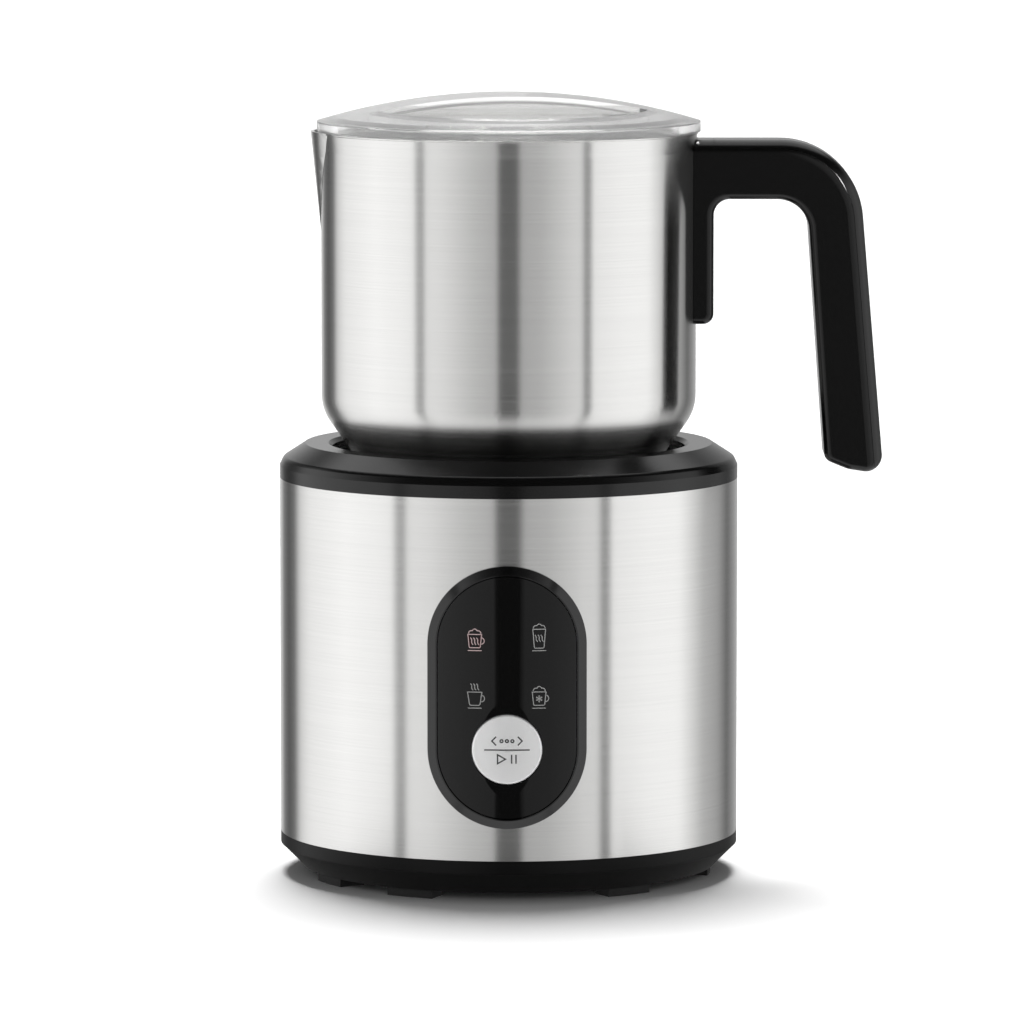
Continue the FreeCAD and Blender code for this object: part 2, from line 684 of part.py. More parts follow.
spindle = revolved("spindle", [
    ("0", "seat_z + jug_wall"),
    ("5", "seat_z + jug_wall"),
    ("5", "seat_z + 1.4"),
    ("spindle_rad", "seat_z + 1.4"),
    ("spindle_rad", "127.5"),
    ("0", "127.5"),
])
rounded(spindle, "0.6", hoop("spindle_rad", "127.5"))
piece(spindle, "whisk_spindle")

# ---- handle --------------------------------------------------------------------------------------

def whole_grip():
    """The grip and the tab that holds it, before they are parted into a handle and its cover."""
    grip = extruded("grip", [
        ("50", "grip_top"),
        ("grip_out", "grip_top"),
        ("grip_tip", "grip_bottom"),
        ("end_x", "end_z"),
        ("heel_x", "heel_z"),
        ("grip_in", "grip_under"),
        ("tab_x", "grip_under"),
        ("tab_x", "tab_z"),
        ("50", "tab_z"),
    ], "grip_half")
    rounded(grip, "outer_bend", crosswise(("grip_out", "grip_top")))
    rounded(grip, "inner_bend", crosswise(("grip_in", "grip_under")))
    rounded(grip, "tab_bend", crosswise(("tab_x", "grip_under")))
    rounded(grip, "tab_corner", crosswise(("tab_x", "tab_z"), ("heel_x", "heel_z")))
    rounded(grip, "end_bend", crosswise(("end_x", "end_z")))
    rounded(grip, "inner_round", sidelong(outer=False))
    rounded(grip, "grip_round", sidelong(outer=True))
    return grip


def outside_seam(gap):
    """The space outside the seam that runs along both sides of the grip, gap mm away from it."""
    start, level, side = f"seam_start - {gap}", f"grip_top - skin - {gap}", f"grip_out - skin - {gap}"
    region = extruded("region", [
        (start, level),
        (start, "grip_top + 20"),
        ("grip_tip + 20", "grip_top + 20"),
        ("grip_tip + 20", "grip_bottom - 10"),
        (f"seam_end - {gap}", "grip_bottom - 10"),
        (side, level),
    ], "grip_half + 1")
    return rounded(region, f"outer_bend - skin + {gap}", crosswise((side, level)))


jug_room = cylinder("jug_rad + 0.05", "120", ("0", "0", "100"))
rim_room = cylinder("rim_rad + 0.05", "20", ("0", "0", "flare_z"))
bracket_room = common(
    tube("jug_rad + 1.6", "50", "163", "203"), box(("20", "13", "40"), ("45", "-6.5", "163"))
)
screw_room = [cylinder("3.2", "10", ("54.9", "0", z), "X") for z in ("169", "183")]
screw_room += [cylinder("1.6", "10", ("50", "0", z), "X") for z in ("169", "183")]
handle = cut(whole_grip(), outside_seam("seam_gap"), jug_room, rim_room, bracket_room, *screw_room)
piece(handle, "handle")
piece(common(whole_grip(), outside_seam("0")), "handle_cover")

bracket = cut(
    common(
        tube("jug_rad + 1.4", "jug_rad + 0.1", "165", "201"), box(("20", "12", "36"), ("45", "-6", "165"))
    ),
    *[cylinder("1.6", "10", ("50", "0", z), "X") for z in ("169", "183")],
)
piece(bracket, "handle_bracket")
tab_screws = []
for height in ("169", "183"):
    head = cylinder("3", "1.8", ("55", "0", height), "X")
    tab_screws.append(fuse(head, cylinder("1.5", "1.7", ("53.4", "0", height), "X")))
piece(group(tab_screws), "handle_screws")

# ---- whisk ---------------------------------------------------------------------------------------

piece(tube("collar_rad", "spindle_rad + 0.05", "115.5", "127"), "whisk_collar")
carrier = revolved("whisk_body", [
    ("collar_rad + 0.06", "116"),
    ("carrier_flange", "116"),
    ("carrier_flange", "118.4"),
    ("carrier_rad", "118.4"),
    ("carrier_rad", "123"),
    ("6", "125"),
    ("6", "131"),
    ("0", "131.6"),
    ("0", "128.2"),
    ("collar_rad + 0.06", "128.2"),
])
rounded(carrier, "0.8", hoop("carrier_flange", "118.4"))
whisk_pockets = ringed(
    lambda x, y: cylinder("whisk_magnet + 0.05", "4", (x, y, "115")), "whisk_magnet_at", MAGNETS
)
piece(cut(carrier, *whisk_pockets), "whisk_carrier")
whisk_discs = ringed(
    lambda x, y: cylinder("whisk_magnet", "2.8", (x, y, "116.1")), "whisk_magnet_at", MAGNETS
)
piece(group(whisk_discs), "whisk_magnets")
froth = doc.addObject("Part::Torus", "froth")
bind(froth, Radius1="froth_rad", Radius2="froth_wire")
piece(froth, "frothing_ring", ("0", "0", "froth_z"))

# ---- lid -----------------------------------------------------------------------------------------


def dome(radius, thinner, low):
    """A round block with a shallow spherical top, thinner mm below the lid's outer face."""
    ball = doc.addObject("Part::Sphere", "ball")
    bind(ball, Radius=f"dome_rad - ({thinner})")
    place(ball, ("0", "0", "lid_top - dome_rad"))
    return common(cylinder(radius, f"230 - ({low})", ("0", "0", low)), ball)


def half_moons(grow, floor):
    """The two finger hollows, either side of the grip bar, each the segment of a circle."""
    moons = fuse(*[
        cylinder(f"pocket_rad + {grow}", "30", ("0", f"{side} pocket_shift", floor)) for side in ("", "-")
    ])
    length = f"2 * (bridge_half - {grow})"
    bridge = box(("120", length, "40"), ("-60", f"-(bridge_half - {grow})", f"({floor}) - 5"))
    moon_pair = cut(moons, bridge)
    moon_pair.Placement = FreeCAD.Placement(Vector(), Rotation(Vector(0, 0, 1), value("lid_turn")))
    return moon_pair


lid_block = fuse(
    dome("lid_rad", "0", "rim_z"),
    cylinder("skirt_rad", "rim_z - skirt_z + 1", ("0", "0", "skirt_z")),
)
hollow = cut(dome("skirt_rad - 2", "lid_wall", "skirt_z - 1"), half_moons("2", "pocket_floor - lid_wall"))
lid = cut(lid_block, half_moons("0", "pocket_floor"), hollow)
piece(lid, "lid")
piece(tube("52.0", "skirt_rad + 0.05", "207", "209.6"), "lid_seal")

# ---- check and write -----------------------------------------------------------------------------

doc.recompute()
for obj in doc.Objects:
    if {"Invalid", "Error"} & set(obj.State):
        raise RuntimeError(f"{obj.Label} ({obj.Name}) did not compute")
for label, obj in PIECES:
    if obj.Label != label:
        raise RuntimeError(f"{label} is named twice")
    if obj.Shape.isNull() or not obj.Shape.isValid() or not obj.Shape.Solids:
        raise RuntimeError(f"{label} has no valid solid")

os.makedirs("parts", exist_ok=True)
for label, obj in PIECES:
    obj.Shape.exportStep(f"parts/{label}.step")
    print(f"{label}: {len(obj.Shape.Solids)} solid(s), {obj.Shape.Volume:.1f} mm3")
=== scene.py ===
import math

import bmesh
import bpy
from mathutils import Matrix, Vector
from mathutils.bvhtree import BVHTree


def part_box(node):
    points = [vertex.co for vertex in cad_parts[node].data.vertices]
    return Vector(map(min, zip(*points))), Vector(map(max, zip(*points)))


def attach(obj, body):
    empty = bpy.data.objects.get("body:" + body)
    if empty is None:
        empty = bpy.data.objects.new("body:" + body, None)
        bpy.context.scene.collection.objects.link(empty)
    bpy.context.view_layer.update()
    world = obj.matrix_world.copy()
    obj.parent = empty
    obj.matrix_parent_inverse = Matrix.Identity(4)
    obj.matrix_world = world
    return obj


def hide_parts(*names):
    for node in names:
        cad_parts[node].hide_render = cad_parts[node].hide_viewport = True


# The looks of a milk frother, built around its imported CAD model. Lengths are in metres, the front faces
# -Y, and the base stands on z = 0.
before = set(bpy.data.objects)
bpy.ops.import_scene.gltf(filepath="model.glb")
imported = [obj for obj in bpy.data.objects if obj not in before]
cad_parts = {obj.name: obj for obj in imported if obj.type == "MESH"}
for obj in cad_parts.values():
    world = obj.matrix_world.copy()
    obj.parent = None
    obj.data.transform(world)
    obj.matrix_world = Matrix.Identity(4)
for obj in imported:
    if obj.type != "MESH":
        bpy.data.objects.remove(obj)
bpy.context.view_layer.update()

MM = 0.001
SLEEVE_LOW, SLEEVE_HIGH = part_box("outer_sleeve")
AXIS_X = (SLEEVE_LOW.x + SLEEVE_HIGH.x) / 2

# ---- procedural materials ------------------------------------------------------------------------


class Look:
    """One procedural material, with short calls for the nodes that it is made of."""

    def __init__(self, name, **values):
        self.material = bpy.data.materials.new(name)
        self.material.use_nodes = True
        self.tree = self.material.node_tree
        self.shader = self.tree.nodes["Principled BSDF"]
        self.set(**values)

    def feed(self, socket, value):
        if isinstance(value, bpy.types.NodeSocket):
            self.tree.links.new(value, socket)
        else:
            socket.default_value = value

    def set(self, **values):
        """Sets or links the shader's sockets; an underscore stands for a space."""
        for name, value in values.items():
            if name.endswith("color") and isinstance(value, tuple):
                value = (*value, 1)
            self.feed(self.shader.inputs[name.replace("_", " ").title().replace("Ior", "IOR")], value)

    def node(self, kind, sockets, **settings):
        node = self.tree.nodes.new(kind)
        for name, value in settings.items():
            setattr(node, name, value)
        for name, value in sockets.items():
            self.feed(node.inputs[name], value)
        return node

    def place(self, per_metre):
        """The surface's place, scaled by so many repeats per metre along X, Y and Z."""
        spot = self.node("ShaderNodeTexCoord", {}).outputs["Object"]
        return self.node("ShaderNodeMapping", {"Vector": spot, "Scale": per_metre}).outputs["Vector"]

    def noise(self, per_metre, detail=3.0, rough=0.55):
        """Grey noise from 0 to 1 with grains per metre along X, Y and Z."""
        return self.node(
            "ShaderNodeTexNoise",
            {"Vector": self.place(per_metre), "Scale": 1.0, "Detail": detail, "Roughness": rough},
        ).outputs["Fac"]

    def spread(self, grey, low, high, start=0.3, end=0.7):
        """Grey values from start to end turned into numbers from low to high."""
        return self.node(
            "ShaderNodeMapRange",
            {"Value": grey, "From Min": start, "From Max": end, "To Min": low, "To Max": high},
        ).outputs["Result"]

    def blend(self, grey, dark, light):
        """A colour between two, by a grey value."""
        mix = self.tree.nodes.new("ShaderNodeMix")
        mix.data_type = "RGBA"
        factor, first, second = mix.inputs[0], mix.inputs[6], mix.inputs[7]
        self.feed(factor, grey)
        first.default_value = (*dark, 1)
        second.default_value = (*light, 1)
        return mix.outputs[2]

    def bump(self, grey, depth):
        """Raises the surface by a grey value."""
        relief = self.node("ShaderNodeBump", {"Height": grey, "Distance": depth, "Strength": 1.0})
        self.set(normal=relief.outputs["Normal"])


def tone(colour, factor):
    """A colour made darker or lighter."""
    return tuple(channel * factor for channel in colour)


def grained(name, colour, roughness, grain=1500, depth=0.01 * MM, variation=0.12, **values):
    """A moulded or cast surface: slow patches of tone, and a fine grain in its gloss and its height."""
    look = Look(name, **values)
    patches = look.noise((60, 60, 60))
    fine = look.noise((grain, grain, grain), detail=4.0)
    look.set(base_color=look.blend(patches, tone(colour, 1 - variation), tone(colour, 1 + variation)))
    look.set(roughness=look.spread(fine, roughness * 0.88, roughness * 1.12))
    look.bump(fine, depth)
    return look


def brushed(name, colour, roughness, stretch, depth=0.004 * MM, streaks=0.07, **values):
    """Metal with fine parallel brush lines; stretch gives the lines per metre along X, Y and Z."""
    look = Look(name, metallic=1.0, **values)
    lines = look.noise(stretch, detail=5.0, rough=0.7)
    patches = look.noise((20, 20, 240))
    shade = look.node("ShaderNodeMath", {0: patches, 1: 0.2, 2: lines}, operation="MULTIPLY_ADD").outputs[0]
    shade = look.spread(shade, 0.0, 1.0, start=0.4, end=0.8)
    look.set(base_color=look.blend(shade, tone(colour, 1 - streaks), tone(colour, 1 + streaks)))
    look.set(roughness=look.spread(lines, roughness * 0.85, roughness * 1.2))
    look.bump(lines, depth)
    return look


def brushed_steel():
    """Stainless steel brushed round the axis, so that its highlights are drawn out upwards."""
    look = brushed("brushed_steel", (0.8, 0.797, 0.785), 0.21, (10, 10, 7000), depth=0.003 * MM, streaks=0.05,
                   anisotropic=1.0, anisotropic_rotation=0.25)
    tangent = look.node("ShaderNodeTangent", {}, direction_type="RADIAL", axis="Z")
    look.set(tangent=tangent.outputs["Tangent"])
    return look


def bright_steel():
    return brushed("bright_steel", (0.72, 0.72, 0.71), 0.22, (900, 900, 900), streaks=0.05)


def black_satin():
    look = grained("black_satin", (0.0018, 0.0018, 0.0018), 0.2, grain=2600, depth=0.002 * MM)
    look.set(specular_ior_level=0.45)
    return look


def black_matt():
    look = grained("black_matt", (0.0018, 0.0018, 0.0018), 0.34, grain=2600, depth=0.003 * MM)
    look.set(specular_ior_level=0.16)
    return look


def black_gloss():
    look = grained("black_gloss", (0.0008, 0.0008, 0.0008), 0.02, grain=400, depth=0.0004 * MM)
    look.set(specular_ior_level=0.42)
    return look


def bezel_gloss():
    look = grained("bezel_gloss", (0.0015, 0.0015, 0.0016), 0.12, grain=900, depth=0.001 * MM)
    look.set(specular_ior_level=0.6)
    return look


def button_grey():
    look = grained("button_grey", (0.92, 0.92, 0.92), 0.33, grain=3500, depth=0.003 * MM, variation=0.03)
    look.set(metallic=0.5, coat_weight=0.3, coat_roughness=0.12)
    return look


def clear_plastic():
    look = Look("clear_plastic", ior=1.49, transmission_weight=0.85)
    haze = look.noise((80, 80, 80))
    look.set(base_color=look.blend(haze, (0.965, 0.965, 0.96), (0.985, 0.985, 0.98)))
    look.set(roughness=look.spread(haze, 0.03, 0.06))
    look.bump(haze, 0.004 * MM)
    return look


def moulded_plastic():
    return grained("moulded_plastic", (0.2, 0.2, 0.21), 0.5, grain=900)


def light_plastic():
    return grained("light_plastic", (0.78, 0.78, 0.76), 0.45, grain=900, variation=0.05)


def rubber():
    return grained("rubber", (0.006, 0.006, 0.006), 0.6, grain=2500, depth=0.02 * MM)


def silicone():
    look = grained("silicone", (0.82, 0.85, 0.86), 0.35, grain=1200, variation=0.04)
    look.set(transmission_weight=0.55, ior=1.41)
    return look


def circuit_board():
    """Green solder mask over copper tracks: the edges of square cells read as runs of track."""
    look = Look("circuit_board", roughness=0.35)
    tracks = look.node(
        "ShaderNodeTexVoronoi", {"Vector": look.place((420, 420, 420)), "Scale": 1.0},
        feature="DISTANCE_TO_EDGE", distance="CHEBYCHEV",
    ).outputs["Distance"]
    edge = look.spread(tracks, 0.0, 1.0, start=0.06, end=0.1)
    look.set(base_color=look.blend(edge, (0.012, 0.11, 0.045), (0.03, 0.2, 0.08)))
    look.bump(edge, 0.03 * MM)
    return look


def winding():
    look = brushed("winding", (0.62, 0.27, 0.1), 0.24, (500, 500, 500), streaks=0.15)
    look.set(coat_weight=0.8, coat_roughness=0.1)
    return look


def iron():
    return grained("iron", (0.06, 0.06, 0.065), 0.7, grain=1800, depth=0.03 * MM, metallic=0.6)


def magnet():
    return brushed("magnet", (0.66, 0.66, 0.68), 0.18, (300, 300, 300), streaks=0.04)


def aluminium():
    return brushed("aluminium", (0.72, 0.73, 0.74), 0.35, (2500, 2500, 60))


def bronze():
    return grained("bronze", (0.55, 0.36, 0.16), 0.42, grain=2600, depth=0.02 * MM, metallic=1.0)


def zinc_steel():
    return brushed("zinc_steel", (0.6, 0.61, 0.62), 0.3, (180, 180, 180), streaks=0.12)


def capacitor_yellow():
    return grained("capacitor_yellow", (0.72, 0.5, 0.06), 0.4, grain=700, variation=0.08)


def print_white():
    return grained("print_white", (0.3, 0.3, 0.295), 0.5, grain=4000, depth=0.002 * MM)


def print_lit():
    look = grained("print_lit", (0.36, 0.31, 0.31), 0.5, grain=4000, depth=0.002 * MM)
    look.set(emission_color=(1.0, 0.45, 0.45), emission_strength=0.12)
    return look


def print_glow():
    """The red of the lamp behind, showing faintly in the smoked panel."""
    look = grained("print_glow", (0.012, 0.002, 0.003), 0.1, grain=600, depth=0.001 * MM)
    look.set(specular_ior_level=0.2, emission_color=(1.0, 0.05, 0.08), emission_strength=0.006)
    return look


def print_dark():
    return grained("print_dark", (0.03, 0.03, 0.032), 0.5, grain=4000, depth=0.002 * MM)


MAKERS = (
    brushed_steel, bright_steel, black_satin, black_matt, black_gloss, bezel_gloss, button_grey,
    clear_plastic, moulded_plastic, light_plastic, rubber, silicone, circuit_board, winding, iron,
    magnet, aluminium, bronze, zinc_steel, capacitor_yellow, print_white, print_lit, print_glow,
    print_dark,
)
LOOKS = {maker.__name__: maker().material for maker in MAKERS}
# Nodes that share a CAD material with others and look different from them.
SPECIAL = {"panel_bezel": "bezel_gloss", "base_ring": "black_matt", "base_cover": "black_matt"}

for name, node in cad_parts.items():
    for slot in node.material_slots:
        slot.material = LOOKS[SPECIAL.get(name, slot.material.name.split(".")[0])]

# ---- mesh code -----------------------------------------------------------------------------------


def piece(name, shape, body, look, stands_for=()):
    """Turns a bmesh into a piece that rides on a body and may stand for CAD nodes."""
    bmesh.ops.recalc_face_normals(shape, faces=shape.faces)
    mesh = bpy.data.meshes.new(name)
    shape.to_mesh(mesh)
    shape.free()
    mesh.materials.append(LOOKS[look])
    obj = bpy.data.objects.new(name, mesh)
    bpy.context.scene.collection.objects.link(obj)
    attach(obj, body)
    if stands_for:
        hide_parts(*stands_for)


def sweep(shape, path, radius, sides, closed):
    """Adds a round wire along a path of points, turning its section no more than the path does."""
    count = len(path)
    normal = Vector((0, 0, 1))
    rings = []
    for i, point in enumerate(path):
        before = path[i - 1] if closed or i else point
        after = path[(i + 1) % count] if closed or i < count - 1 else point
        along = (after - before).normalized()
        normal = (normal - along * normal.dot(along)).normalized()
        across = along.cross(normal)
        ring = []
        for k in range(sides):
            angle = math.tau * k / sides
            out = math.cos(angle) * normal + math.sin(angle) * across
            ring.append(shape.verts.new(point + radius * out))
        rings.append(ring)
    joins = zip(rings, rings[1:] + rings[:1]) if closed else zip(rings, rings[1:])
    for first, second in joins:
        for k in range(sides):
            face = shape.faces.new((first[k - 1], first[k], second[k], second[k - 1]))
            face.smooth = True
    if not closed:
        shape.faces.new(rings[0])
        shape.faces.new(rings[-1])


# ---- hidden and inner pieces ---------------------------------------------------------------------


def ring_place(centre, radius, angle, height):
    """A place round an upright axis through the centre, and so high above it."""
    return centre + Vector((radius * math.cos(angle), radius * math.sin(angle), height))


def frothing_coil():
    """The frothing ring: a round wire wound into a closed spring."""
    low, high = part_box("frothing_ring")
    centre = (low + high) / 2
    coil = (high.z - low.z) / 2
    hoop = (high.x - low.x) / 2 - coil
    wire, turns, steps = 0.35 * MM, 60, 14
    reach = coil - wire
    path = []
    for i in range(turns * steps):
        around = math.tau * i / (turns * steps)
        twist = math.tau * i / steps
        path.append(ring_place(centre, hoop + reach * math.cos(twist), around, reach * math.sin(twist)))
    shape = bmesh.new()
    sweep(shape, path, wire, 8, closed=True)
    piece("frothing_coil", shape, "frothing_ring", "bright_steel", ["frothing_ring"])


def heating_coil():
    """The induction coil: flat spirals of thick wire, one above the other."""
    low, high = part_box("induction_coil")
    centre = (low + high) / 2
    outer = (high.x - low.x) / 2
    hole, wire, layers, steps = 22.2 * MM, 0.42 * MM, 4, 48
    pitch = 2 * wire + 0.03 * MM
    turns = (outer - hole - 2 * wire) / pitch
    shape = bmesh.new()
    for layer in range(layers):
        height = low.z + wire + (high.z - low.z - 2 * wire) * layer / (layers - 1) - centre.z
        path = []
        for i in range(int(turns * steps)):
            radius = hole + wire + pitch * i / steps
            path.append(ring_place(centre, radius, math.tau * i / steps, height))
        sweep(shape, path, wire, 6, closed=False)
    piece("heating_coil", shape, "base", "winding", ["induction_coil"])


def choke():
    """The mains choke: two windings of enamelled wire on a ring core that stands on edge."""
    low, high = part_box("choke_coil")
    centre = (low + high) / 2
    thick = (high.y - low.y) / 2
    ring = (high.x - low.x) / 2 - thick
    wire, turns, steps = 0.42 * MM, 17, 16
    core_steps, winding_span = 64, 140

    def on_edge(around, twist, reach):
        out = ring + reach * math.cos(twist)
        return centre + Vector((out * math.cos(around), reach * math.sin(twist), out * math.sin(around)))

    core = bmesh.new()
    path = [on_edge(math.tau * i / core_steps, 0, 0) for i in range(core_steps)]
    sweep(core, path, thick - 2 * wire, 16, closed=True)
    piece("choke_core", core, "base", "iron", ["choke_coil"])
    wires = bmesh.new()
    for start in (20, 200):
        path = []
        for i in range(turns * steps + 1):
            around = math.radians(start + winding_span * i / (turns * steps))
            path.append(on_edge(around, math.tau * i / steps, thick - wire))
        sweep(wires, path, wire, 6, closed=False)
    piece("choke_windings", wires, "base", "winding")


frothing_coil()
heating_coil()
choke()

# ---- print on the panel and the button -----------------------------------------------------------
# Signs are drawn in millimetres: x to the right and z up from the middle of their base line.


def arc(x, z, radius, start, end, steps):
    """Points on an arc between two angles in degrees."""
    points = []
    for i in range(steps + 1):
        angle = math.radians(start + (end - start) * i / steps)
        points.append((x + radius * math.cos(angle), z + radius * math.sin(angle)))
    return points


def vessel(top, bottom, low, high, corner=0.35):
    """A glass or mug seen from the side, wider at its rim, with round corners at its foot."""
    return [
        (-top / 2, high),
        *arc(-bottom / 2 + corner, low + corner, corner, 180, 270, 5),
        *arc(bottom / 2 - corner, low + corner, corner, 270, 360, 5),
        (top / 2, high),
    ]


def foam(width, low):
    """Three scoops of foam, the middle one highest."""
    side = width * 0.24
    return [
        *arc(-width / 2 + side, low, side, 180, 75, 6),
        *arc(0, low + side * 0.75, side * 0.8, 155, 25, 6),
        *arc(width / 2 - side, low, side, 105, 0, 6),
    ]


def waves(low, high):
    """Three wisps of steam side by side."""
    apart, swing, lean, steps = 0.82, 0.16, 0.75, 10
    wisps = []
    for x in (-apart, 0, apart):
        wisp = []
        for i in range(steps + 1):
            t = i / steps
            sway = swing * math.sin(math.tau * t) + lean * (t - 0.5)
            wisp.append((x + sway, high - (high - low) * t))
        wisps.append(wisp)
    return wisps


def flake(x, z, reach):
    """Six arms, each with a short bar near its tip."""
    bar_place, bar_reach = 0.72, 0.24
    middle = Vector((x, z))
    lines = []
    for arm in range(6):
        angle = math.radians(90 + 60 * arm)
        along = Vector((math.cos(angle), math.sin(angle)))
        across = Vector((-along.y, along.x)) * reach * bar_reach
        bar = middle + along * reach * bar_place
        lines.append([tuple(middle), tuple(middle + along * reach)])
        lines.append([tuple(bar + across), tuple(bar - across)])
    return lines


def ear(side, low, high):
    """The mug's handle, to its right."""
    middle = (low + high) / 2
    return arc(side, middle, (high - low) / 2, 90, -90, 8)


SIGN_LINE, BUTTON_LINE = 0.24, 0.38
SIGN_HEIGHT, GLOW_HEIGHT = 0.03, 0.012

BASE_LINE = [(-1.9, 0), (1.9, 0)]
MUG = vessel(3.8, 3.1, 0.8, 4.5)
MUG_SIGN = [(MUG, True), (foam(3.4, 4.75), False), (ear(1.75, 1.8, 3.6), False), (BASE_LINE, False)]
GLASS_SIGN = [(vessel(3.5, 2.7, 0.7, 5.95), True), (foam(3.3, 6.2), False), (BASE_LINE, False)]
CUP_SIGN = [(vessel(4.0, 3.0, 0.75, 4.45, 0.6), True), (ear(1.8, 1.75, 3.6), False), (BASE_LINE, False)]


def opened(lines):
    """Lines as strokes whose ends stay apart."""
    return [(line, False) for line in lines]


def ribbon(shape, stroke, closed, width, drop, thickness):
    """Adds a thin closed strip along a stroke, laid on a surface by drop(x, z, lift)."""
    longest, sharpest = 0.7, 0.5
    points = []
    count = len(stroke)
    for i in range(count if closed else count - 1):
        start, end = Vector(stroke[i]), Vector(stroke[(i + 1) % count])
        cuts = max(1, math.ceil((end - start).length / longest))
        points += [start.lerp(end, k / cuts) for k in range(cuts)]
    if not closed:
        points.append(Vector(stroke[-1]))
    total = len(points)
    quads = []
    for i, point in enumerate(points):
        before = (point - points[i - 1]).normalized() if closed or i else None
        after = (points[(i + 1) % total] - point).normalized() if closed or i < total - 1 else before
        before = before or after
        along = (before + after).normalized()
        side = Vector((-along.y, along.x)) * width / 2 / max(along.dot(after), sharpest)
        corners = []
        for x, z in (point + side, point - side):
            corners.append(shape.verts.new(drop(x, z, thickness)))
            corners.append(shape.verts.new(drop(x, z, -thickness)))
        quads.append(corners)
    joins = zip(quads, quads[1:] + quads[:1]) if closed else zip(quads, quads[1:])
    for a, b in joins:
        for i, j in ((0, 2), (2, 3), (3, 1), (1, 0)):
            shape.faces.new((a[i], a[j], b[j], b[i]))
    if not closed:
        for a in (quads[0], quads[-1]):
            shape.faces.new((a[0], a[2], a[3], a[1]))


def fill(shape, outline, drop, thickness):
    """Adds a thin filled patch inside an outline."""
    layers = []
    for lift in (thickness, -thickness):
        layers.append([shape.verts.new(drop(x, z, lift)) for x, z in outline])
        shape.faces.new(layers[-1])
    for i in range(len(outline)):
        shape.faces.new((layers[0][i - 1], layers[0][i], layers[1][i], layers[1][i - 1]))


def laid_on(node, x0, z0):
    """A function that lays a sign's points on the front of a CAD node, around the place x0, z0."""
    tree = BVHTree.FromObject(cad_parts[node], bpy.context.evaluated_depsgraph_get())
    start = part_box(node)[0].y - 10 * MM  # well in front of the surface

    def drop(x, z, lift):
        place = Vector((x0 + x * MM, start, z0 + z * MM))
        hit = tree.ray_cast(place, Vector((0, 1, 0)))[0]
        return hit - Vector((0, lift * MM, 0))

    return drop


def sign(name, strokes, node, x0, z0, body, look, width=SIGN_LINE):
    """One sign, made of strokes that are each a line of points and whether it is closed."""
    shape = bmesh.new()
    drop = laid_on(node, x0, z0)
    for stroke, closed in strokes:
        ribbon(shape, stroke, closed, width, drop, SIGN_HEIGHT)
    piece(name, shape, body, look)


def panel_signs():
    """The four programmes, each in front of its light guide."""
    low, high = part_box("light_guides")
    guide = 3.4 * MM  # half the width of a light guide
    base_line = 3.25 * MM  # from a sign's base line up to the middle of its guide
    left, right = low.x + guide, high.x - guide
    top, bottom = high.z - guide - base_line, low.z + guide - base_line
    steam = opened(waves(1.6, 3.6))
    cold = opened(flake(0, 2.6, 0.95))
    signs = (
        ("sign_warm_foam", MUG_SIGN + steam, left, top, "print_lit"),
        ("sign_tall_glass", GLASS_SIGN + opened(waves(2.5, 4.4)), right, top, "print_white"),
        ("sign_hot_drink", CUP_SIGN + opened(waves(5.0, 6.8)), left, bottom, "print_white"),
        ("sign_cold_foam", MUG_SIGN + cold, right, bottom, "print_white"),
    )
    for name, strokes, x, z, look in signs:
        sign(name, strokes, "front_panel", x, z, "base", look)
    glow = bmesh.new()
    fill(glow, MUG, laid_on("front_panel", left, top), GLOW_HEIGHT)
    piece("sign_glow", glow, "base", "print_glow")


def button_signs():
    """A dividing line, with marks for choosing above it and for starting below it."""
    low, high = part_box("push_button")
    x0, z0 = (low.x + high.x) / 2, (low.z + high.z) / 2
    strokes = [([(-6.3, 0), (6.3, 0)], False)]
    for way in (-1, 1):
        strokes.append(([(way * 3.0, 3.7), (way * 4.2, 2.5), (way * 3.0, 1.3)], False))
    for x in (-1.5, 0, 1.5):
        strokes.append((arc(x, 2.5, 0.4, 0, 330, 11), True))
    strokes.append(([(-2.6, -1.3), (-2.6, -3.8), (-0.4, -2.55)], True))
    for x in (1.3, 2.5):
        strokes.append(([(x, -1.3), (x, -3.8)], False))
    sign("button_print", strokes, "push_button", x0, z0, "button", "print_dark", BUTTON_LINE)


panel_signs()
button_signs()

# ---- floor, lights and studio --------------------------------------------------------------------


def floor(name, reach, mirrored):
    """A square of the floor, seen either straight or only in the object's gloss."""
    shape = bmesh.new()
    bmesh.ops.create_grid(shape, x_segments=1, y_segments=1, size=reach)
    bmesh.ops.translate(shape, verts=shape.verts, vec=(AXIS_X, 0, 0))
    mesh = bpy.data.meshes.new(name)
    shape.to_mesh(mesh)
    shape.free()
    look = Look(name, roughness=0.9, specular_ior_level=0.0)
    look.set(base_color=look.blend(look.noise((8, 8, 8)), (0.88, 0.88, 0.88), (0.9, 0.9, 0.9)))
    mesh.materials.append(look.material)
    obj = bpy.data.objects.new(name, mesh)
    bpy.context.scene.collection.objects.link(obj)
    obj.visible_glossy = mirrored
    for rays in ("camera", "diffuse", "transmission", "shadow"):
        setattr(obj, f"visible_{rays}", not mirrored)


def top_light():
    """A soft light from above and a little behind, so that the shadow falls forward."""
    light = bpy.data.lights.new("top_light", "SUN")
    light.energy = 4.4
    light.angle = math.radians(28)
    obj = bpy.data.objects.new("top_light", light)
    obj.rotation_euler = Vector((0, -0.33, -1)).to_track_quat("-Z", "Y").to_euler()
    obj.visible_glossy = False
    bpy.context.scene.collection.objects.link(obj)


def soft_light(name, place, target, size, watts):
    """A soft box that metal and gloss don't show; their reflections come from the studio."""
    light = bpy.data.lights.new(name, "AREA")
    light.shape = "RECTANGLE"
    light.size, light.size_y = size
    light.energy = watts
    obj = bpy.data.objects.new(name, light)
    obj.location = place
    obj.rotation_euler = (Vector(target) - Vector(place)).to_track_quat("-Z", "Y").to_euler()
    obj.visible_glossy = False
    bpy.context.scene.collection.objects.link(obj)
